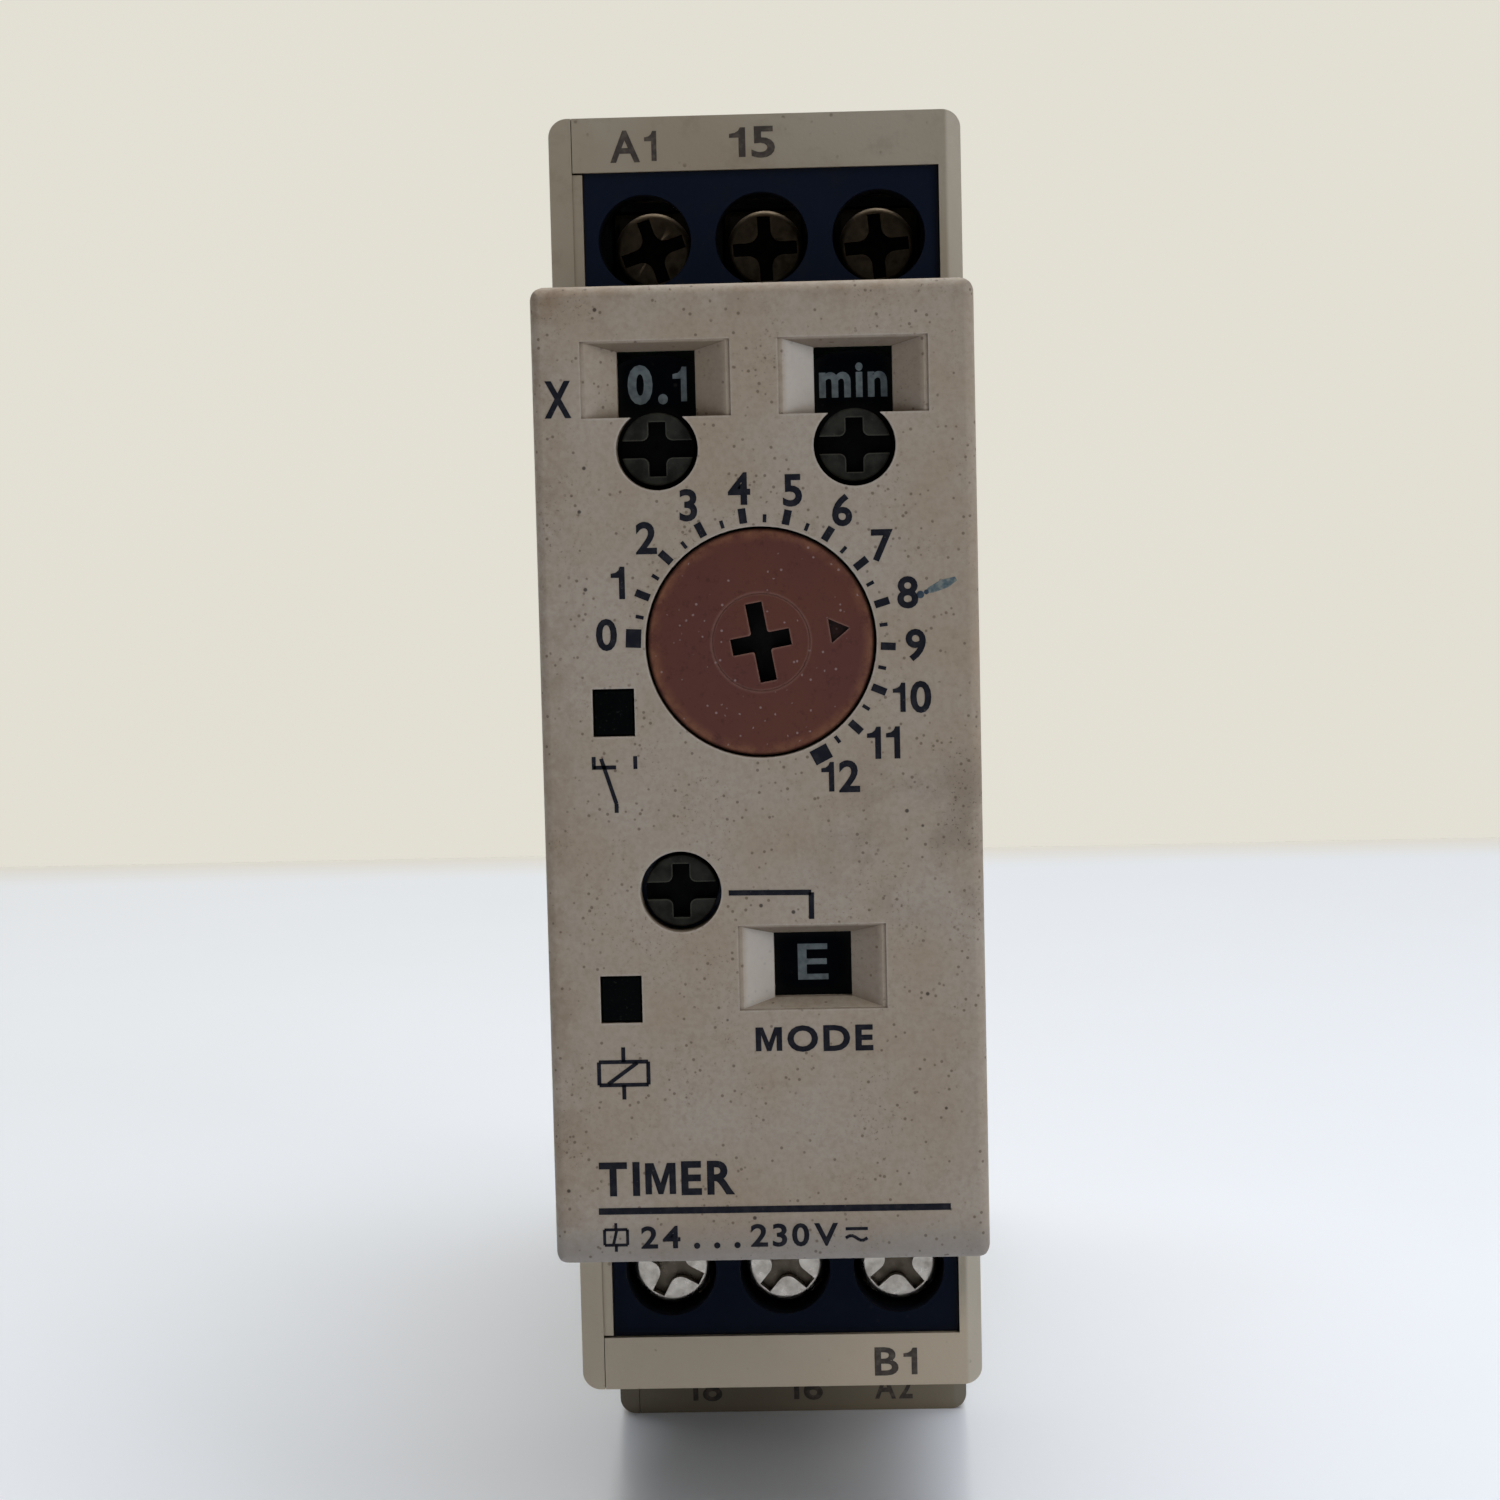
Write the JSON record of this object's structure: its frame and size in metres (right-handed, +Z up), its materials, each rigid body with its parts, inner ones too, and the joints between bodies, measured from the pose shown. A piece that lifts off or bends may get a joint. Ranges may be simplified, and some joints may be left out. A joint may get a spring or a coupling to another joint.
{
  "type": "din rail timer",
  "caption": "Narrow rail-mounted timer with a round time dial, three turn selectors, indicator windows, screw terminals at both ends and a sprung rail lock.",
  "frame": {"origin": "middle of the base, on the surface that the timer stands on", "axes": "+Z up, front panel faces -Y, rail clip faces +Y, X across the width"},
  "size_m": [0.0226, 0.1, 0.079],
  "materials": {
    "case_plastic": "satin, aged",
    "panel_plastic": "satin, aged and marked",
    "block_plastic": "satin",
    "plated_steel": "satin",
    "aged_steel": "tarnished",
    "blackened_steel": "oxidised",
    "tinned_copper": "satin",
    "dial_plastic": "satin",
    "knob_plastic": "satin",
    "display_plastic": "matt",
    "switch_plastic": "gloss",
    "lens_plastic": "gloss",
    "led_resin": "clear resin",
    "board_laminate": "lacquered",
    "dark_plastic": "satin",
    "clear_cover": "clear",
    "winding_copper": "lacquered",
    "contact_alloy": "bright",
    "capacitor_sleeve": "shrink sleeve",
    "ferrite": "matt"
  },
  "bodies": {
    "case": {"main_case": "case_plastic", "side_cover": "case_plastic", "front_panel": "panel_plastic", "terminal_block_top": "block_plastic", "terminal_block_front": "block_plastic", "terminal_block_rear": "block_plastic", "terminal_plates": "blackened_steel", "lead_wires": "tinned_copper", "dial_potentiometer": "switch_plastic", "multiplier_switch": "switch_plastic", "unit_switch": "switch_plastic", "mode_switch": "switch_plastic", "display_spindle": "plated_steel", "output_lens": "lens_plastic", "power_lens": "lens_plastic", "output_led": "led_resin", "power_led": "led_resin", "front_board": "board_laminate", "main_board": "board_laminate", "board_header": "dark_plastic", "relay_base": "dark_plastic", "relay_cover": "clear_cover", "relay_coil": "winding_copper", "relay_core": "plated_steel", "relay_fixed_contact": "contact_alloy", "capacitor_main": "capacitor_sleeve", "capacitors_small": "capacitor_sleeve", "transformer_core": "ferrite", "transformer_coil": "winding_copper", "controller_chip": "dark_plastic", "lock_spring": "plated_steel"},
    "washer_top_1": {"washer_top_1": "blackened_steel"},
    "screw_top_1": {"screw_top_1": "aged_steel"},
    "washer_top_2": {"washer_top_2": "blackened_steel"},
    "screw_top_2": {"screw_top_2": "aged_steel"},
    "washer_top_3": {"washer_top_3": "blackened_steel"},
    "screw_top_3": {"screw_top_3": "aged_steel"},
    "washer_front_1": {"washer_front_1": "blackened_steel"},
    "screw_front_1": {"screw_front_1": "plated_steel"},
    "washer_front_2": {"washer_front_2": "blackened_steel"},
    "screw_front_2": {"screw_front_2": "plated_steel"},
    "washer_front_3": {"washer_front_3": "blackened_steel"},
    "screw_front_3": {"screw_front_3": "plated_steel"},
    "washer_rear_1": {"washer_rear_1": "blackened_steel"},
    "screw_rear_1": {"screw_rear_1": "aged_steel"},
    "washer_rear_2": {"washer_rear_2": "blackened_steel"},
    "screw_rear_2": {"screw_rear_2": "aged_steel"},
    "washer_rear_3": {"washer_rear_3": "blackened_steel"},
    "screw_rear_3": {"screw_rear_3": "aged_steel"},
    "dial": {"time_dial": "dial_plastic", "dial_shaft": "plated_steel"},
    "multiplier": {"multiplier_selector": "knob_plastic", "multiplier_display": "display_plastic"},
    "unit": {"unit_selector": "knob_plastic", "unit_display": "display_plastic"},
    "mode": {"mode_selector": "knob_plastic"},
    "mode_disc": {"mode_display": "display_plastic"},
    "armature": {"relay_armature": "plated_steel", "relay_contact_spring": "contact_alloy"},
    "rail_lock": {"rail_lock": "dark_plastic"}
  },
  "joints": [
    {"name": "screw_top_1_travel", "type": "slide", "parent": "case", "child": "washer_top_1", "axis": [0, 1, 0], "range_m": [-0.007, 0]},
    {"name": "screw_top_1_turn", "type": "hinge", "parent": "washer_top_1", "child": "screw_top_1", "pos_m": [-0.00603, 0, 0.0724], "axis": [0, 1, 0], "range_deg": [-5040, 0]},
    {"name": "screw_top_2_travel", "type": "slide", "parent": "case", "child": "washer_top_2", "axis": [0, 1, 0], "range_m": [-0.007, 0]},
    {"name": "screw_top_2_turn", "type": "hinge", "parent": "washer_top_2", "child": "screw_top_2", "pos_m": [0.00027, 0, 0.0724], "axis": [0, 1, 0], "range_deg": [-5040, 0]},
    {"name": "screw_top_3_travel", "type": "slide", "parent": "case", "child": "washer_top_3", "axis": [0, 1, 0], "range_m": [-0.007, 0]},
    {"name": "screw_top_3_turn", "type": "hinge", "parent": "washer_top_3", "child": "screw_top_3", "pos_m": [0.00657, 0, 0.0724], "axis": [0, 1, 0], "range_deg": [-5040, 0]},
    {"name": "screw_front_1_travel", "type": "slide", "parent": "case", "child": "washer_front_1", "axis": [0, 1, 0], "range_m": [0, 0.007]},
    {"name": "screw_front_1_turn", "type": "hinge", "parent": "washer_front_1", "child": "screw_front_1", "pos_m": [-0.00603, 0, 0.01593], "axis": [0, 1, 0], "range_deg": [0, 5040]},
    {"name": "screw_front_2_travel", "type": "slide", "parent": "case", "child": "washer_front_2", "axis": [0, 1, 0], "range_m": [0, 0.007]},
    {"name": "screw_front_2_turn", "type": "hinge", "parent": "washer_front_2", "child": "screw_front_2", "pos_m": [0.00027, 0, 0.01593], "axis": [0, 1, 0], "range_deg": [0, 5040]},
    {"name": "screw_front_3_travel", "type": "slide", "parent": "case", "child": "washer_front_3", "axis": [0, 1, 0], "range_m": [0, 0.007]},
    {"name": "screw_front_3_turn", "type": "hinge", "parent": "washer_front_3", "child": "screw_front_3", "pos_m": [0.00657, 0, 0.01593], "axis": [0, 1, 0], "range_deg": [0, 5040]},
    {"name": "screw_rear_1_travel", "type": "slide", "parent": "case", "child": "washer_rear_1", "axis": [0, 1, 0], "range_m": [-0.0035, 0.0035]},
    {"name": "screw_rear_1_turn", "type": "hinge", "parent": "washer_rear_1", "child": "screw_rear_1", "pos_m": [-0.00603, 0, 0.0066], "axis": [0, 1, 0], "range_deg": [-2520, 2520]},
    {"name": "screw_rear_2_travel", "type": "slide", "parent": "case", "child": "washer_rear_2", "axis": [0, 1, 0], "range_m": [-0.0035, 0.0035]},
    {"name": "screw_rear_2_turn", "type": "hinge", "parent": "washer_rear_2", "child": "screw_rear_2", "pos_m": [0.00027, 0, 0.0066], "axis": [0, 1, 0], "range_deg": [-2520, 2520]},
    {"name": "screw_rear_3_travel", "type": "slide", "parent": "case", "child": "washer_rear_3", "axis": [0, 1, 0], "range_m": [-0.0035, 0.0035]},
    {"name": "screw_rear_3_turn", "type": "hinge", "parent": "washer_rear_3", "child": "screw_rear_3", "pos_m": [0.00657, 0, 0.0066], "axis": [0, 1, 0], "range_deg": [-2520, 2520]},
    {"name": "dial_turn", "type": "hinge", "parent": "case", "child": "dial", "pos_m": [0.0001, -0.048, 0.0514], "axis": [0, 1, 0], "range_deg": [-169, 71]},
    {"name": "multiplier_turn", "type": "hinge", "parent": "case", "child": "multiplier", "pos_m": [-0.00487, -0.048, 0.06115], "axis": [0, 1, 0], "range_deg": [0, 270]},
    {"name": "unit_turn", "type": "hinge", "parent": "case", "child": "unit", "pos_m": [0.00499, -0.048, 0.06115], "axis": [0, 1, 0], "range_deg": [-90, 180]},
    {"name": "mode_turn", "type": "hinge", "parent": "case", "child": "mode", "pos_m": [-0.00422, -0.048, 0.0389], "axis": [0, 1, 0], "range_deg": [-300, 0]},
    {"name": "mode_display_turn", "type": "hinge", "parent": "case", "child": "mode_disc", "pos_m": [0.00234, -0.048, 0.03104], "axis": [0, 1, 0], "range_deg": [0, 180]},
    {"name": "armature_swing", "type": "hinge", "parent": "case", "child": "armature", "pos_m": [0.00025, -0.0114, 0.054], "axis": [1, 0, 0], "range_deg": [0, 5.5], "stiffness_Nm_per_rad": 0.004, "springref_deg": -11.46},
    {"name": "rail_lock_slide", "type": "slide", "parent": "case", "child": "rail_lock", "axis": [0, 0, -1], "range_m": [0, 0.004], "stiffness_N_per_m": 1200, "springref_m": -0.0015, "deforming": ["lock_spring"]}
  ],
  "couplings": [
    {"joint": "screw_top_1_turn", "follows": "screw_top_1_travel", "rad_per_m": 12566},
    {"joint": "screw_top_2_turn", "follows": "screw_top_2_travel", "rad_per_m": 12566},
    {"joint": "screw_top_3_turn", "follows": "screw_top_3_travel", "rad_per_m": 12566},
    {"joint": "screw_front_1_turn", "follows": "screw_front_1_travel", "rad_per_m": 12566},
    {"joint": "screw_front_2_turn", "follows": "screw_front_2_travel", "rad_per_m": 12566},
    {"joint": "screw_front_3_turn", "follows": "screw_front_3_travel", "rad_per_m": 12566},
    {"joint": "screw_rear_1_turn", "follows": "screw_rear_1_travel", "rad_per_m": 12566},
    {"joint": "screw_rear_2_turn", "follows": "screw_rear_2_travel", "rad_per_m": 12566},
    {"joint": "screw_rear_3_turn", "follows": "screw_rear_3_travel", "rad_per_m": 12566},
    {"joint": "mode_display_turn", "follows": "mode_turn", "ratio": -0.6}
  ]
}
